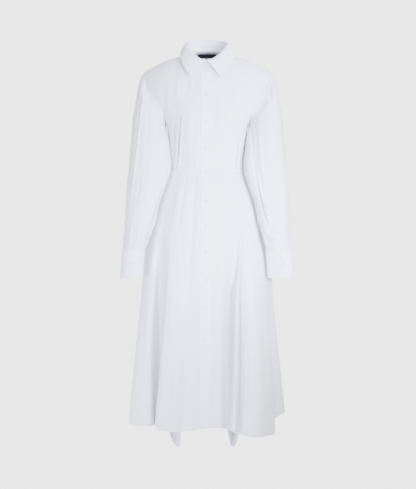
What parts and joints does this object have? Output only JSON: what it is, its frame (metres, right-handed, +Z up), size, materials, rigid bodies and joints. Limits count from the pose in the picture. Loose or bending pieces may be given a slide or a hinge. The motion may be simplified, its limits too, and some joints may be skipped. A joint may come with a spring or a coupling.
{
  "type": "shirt dress",
  "caption": "Long-sleeved white cotton shirt dress in worn shape: open collar, buttoned front band, fitted waist, flared skirt with soft folds and an uneven hem",
  "frame": {"origin": "the middle of the neck opening, level with the points where the shoulder seams meet the collar", "axes": "+Z up along the wearer; the front with its buttons faces -Y; +X is the viewer's right, the wearer's left; names with left and right are the viewer's"},
  "size_m": [0.5468, 0.3691, 1.3298],
  "materials": {
    "white_cotton": "woven cotton poplin, pressed",
    "white_buttons": "pearly, polished",
    "black_label": "satin woven tape"
  },
  "bodies": {
    "root": {"bodice_back": "white_cotton", "bodice_front_left": "white_cotton", "bodice_front_right": "white_cotton", "button_01": "white_buttons", "button_02": "white_buttons", "button_03": "white_buttons", "button_04": "white_buttons", "button_05": "white_buttons", "button_06": "white_buttons", "button_07": "white_buttons", "button_08": "white_buttons", "button_09": "white_buttons", "button_10": "white_buttons", "button_11": "white_buttons", "button_cuff_left": "white_buttons", "button_cuff_right": "white_buttons", "button_stand": "white_buttons", "collar_leaf": "white_cotton", "collar_stand": "white_cotton", "cuff_left": "white_cotton", "cuff_right": "white_cotton", "neck_label": "black_label", "placket": "white_cotton", "skirt_back_left": "white_cotton", "skirt_back_right": "white_cotton", "skirt_front_left": "white_cotton", "skirt_front_right": "white_cotton", "sleeve_left": "white_cotton", "sleeve_right": "white_cotton", "yoke": "white_cotton"}
  },
  "joints": []
}
